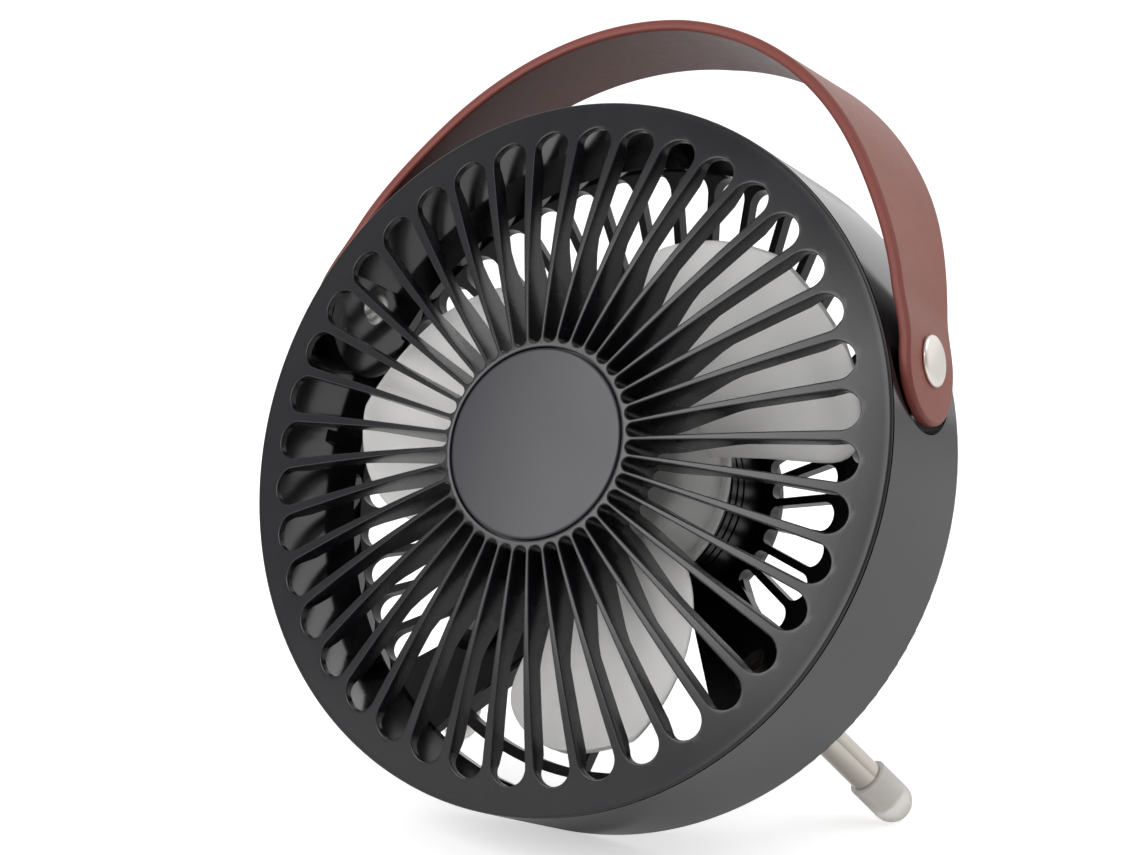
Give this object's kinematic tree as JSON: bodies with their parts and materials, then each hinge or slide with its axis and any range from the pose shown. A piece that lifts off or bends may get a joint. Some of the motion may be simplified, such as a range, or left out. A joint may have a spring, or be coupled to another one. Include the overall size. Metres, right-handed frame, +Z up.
{
  "type": "portable camping fan",
  "caption": "Round tabletop fan with a radial grille, leaning back on two splayed legs, with a swinging carrying strap.",
  "frame": {"origin": "on the floor, under the middle of the part's box", "axes": "-Y is the side that the front grille faces, +X is to the right seen from the front, +Z up"},
  "size_m": [0.17, 0.112, 0.1949],
  "materials": {
    "black_plastic": "satin moulded ABS",
    "disc": "satin moulded ABS",
    "gloss_black": "gloss moulded ABS",
    "blade": "frosted translucent polypropylene",
    "strap": "smooth red-brown leather",
    "nickel": "satin nickel plate",
    "chrome": "bright plate",
    "steel_tube": "polished stainless",
    "silicone": "translucent silicone",
    "steel": "zinc plate",
    "laminations": "stamped laminations",
    "copper": "enamelled copper wire",
    "bronze": "sintered bronze",
    "magnet": "bonded ferrite",
    "board": "solder mask",
    "cell": "shrink film"
  },
  "bodies": {
    "body": {"front_grille": "black_plastic", "hub_disc": "disc", "barrel": "black_plastic", "rear_cover": "gloss_black", "motor_housing": "gloss_black", "housing_lid": "black_plastic", "bearing_tube": "steel", "front_bearing": "bronze", "rear_bearing": "bronze", "stator_core": "laminations", "stator_windings": "copper", "circuit_board": "board", "switch_block": "magnet", "battery_pack": "cell", "charging_socket": "steel", "button_spring": "steel", "rivet_left": "nickel", "rivet_right": "nickel", "rivet_cap_left": "chrome", "rivet_cap_right": "chrome", "strap_washer_left": "steel", "strap_washer_right": "steel", "leg_left": "steel_tube", "leg_right": "steel_tube", "foot_left": "silicone", "foot_right": "silicone", "cover_screws": "steel", "lid_screws": "steel", "leg_screws": "steel"},
    "rotor": {"impeller": "blade", "rotor_can": "steel", "ring_magnet": "magnet", "motor_shaft": "steel", "hub_nut": "steel", "shaft_clip": "steel"},
    "handle": {"handle_strap": "strap"},
    "button": {"power_button": "black_plastic"}
  },
  "joints": [
    {"name": "impeller_spin", "type": "hinge", "parent": "body", "child": "rotor", "pos_m": [0, -0.00245, 0.08473], "axis": [0, -0.9272, 0.3746], "continuous": true},
    {"name": "handle_swing", "type": "hinge", "parent": "body", "child": "handle", "pos_m": [0, 0.00732, 0.11691], "axis": [1, 0, 0], "range_deg": [-22, 24]},
    {"name": "power_button_press", "type": "slide", "parent": "body", "child": "button", "axis": [0, -0.9272, 0.3746], "range_m": [0, 0.0012], "stiffness_N_per_m": 500, "springref_m": -0.001, "deforming": ["button_spring"]}
  ]
}
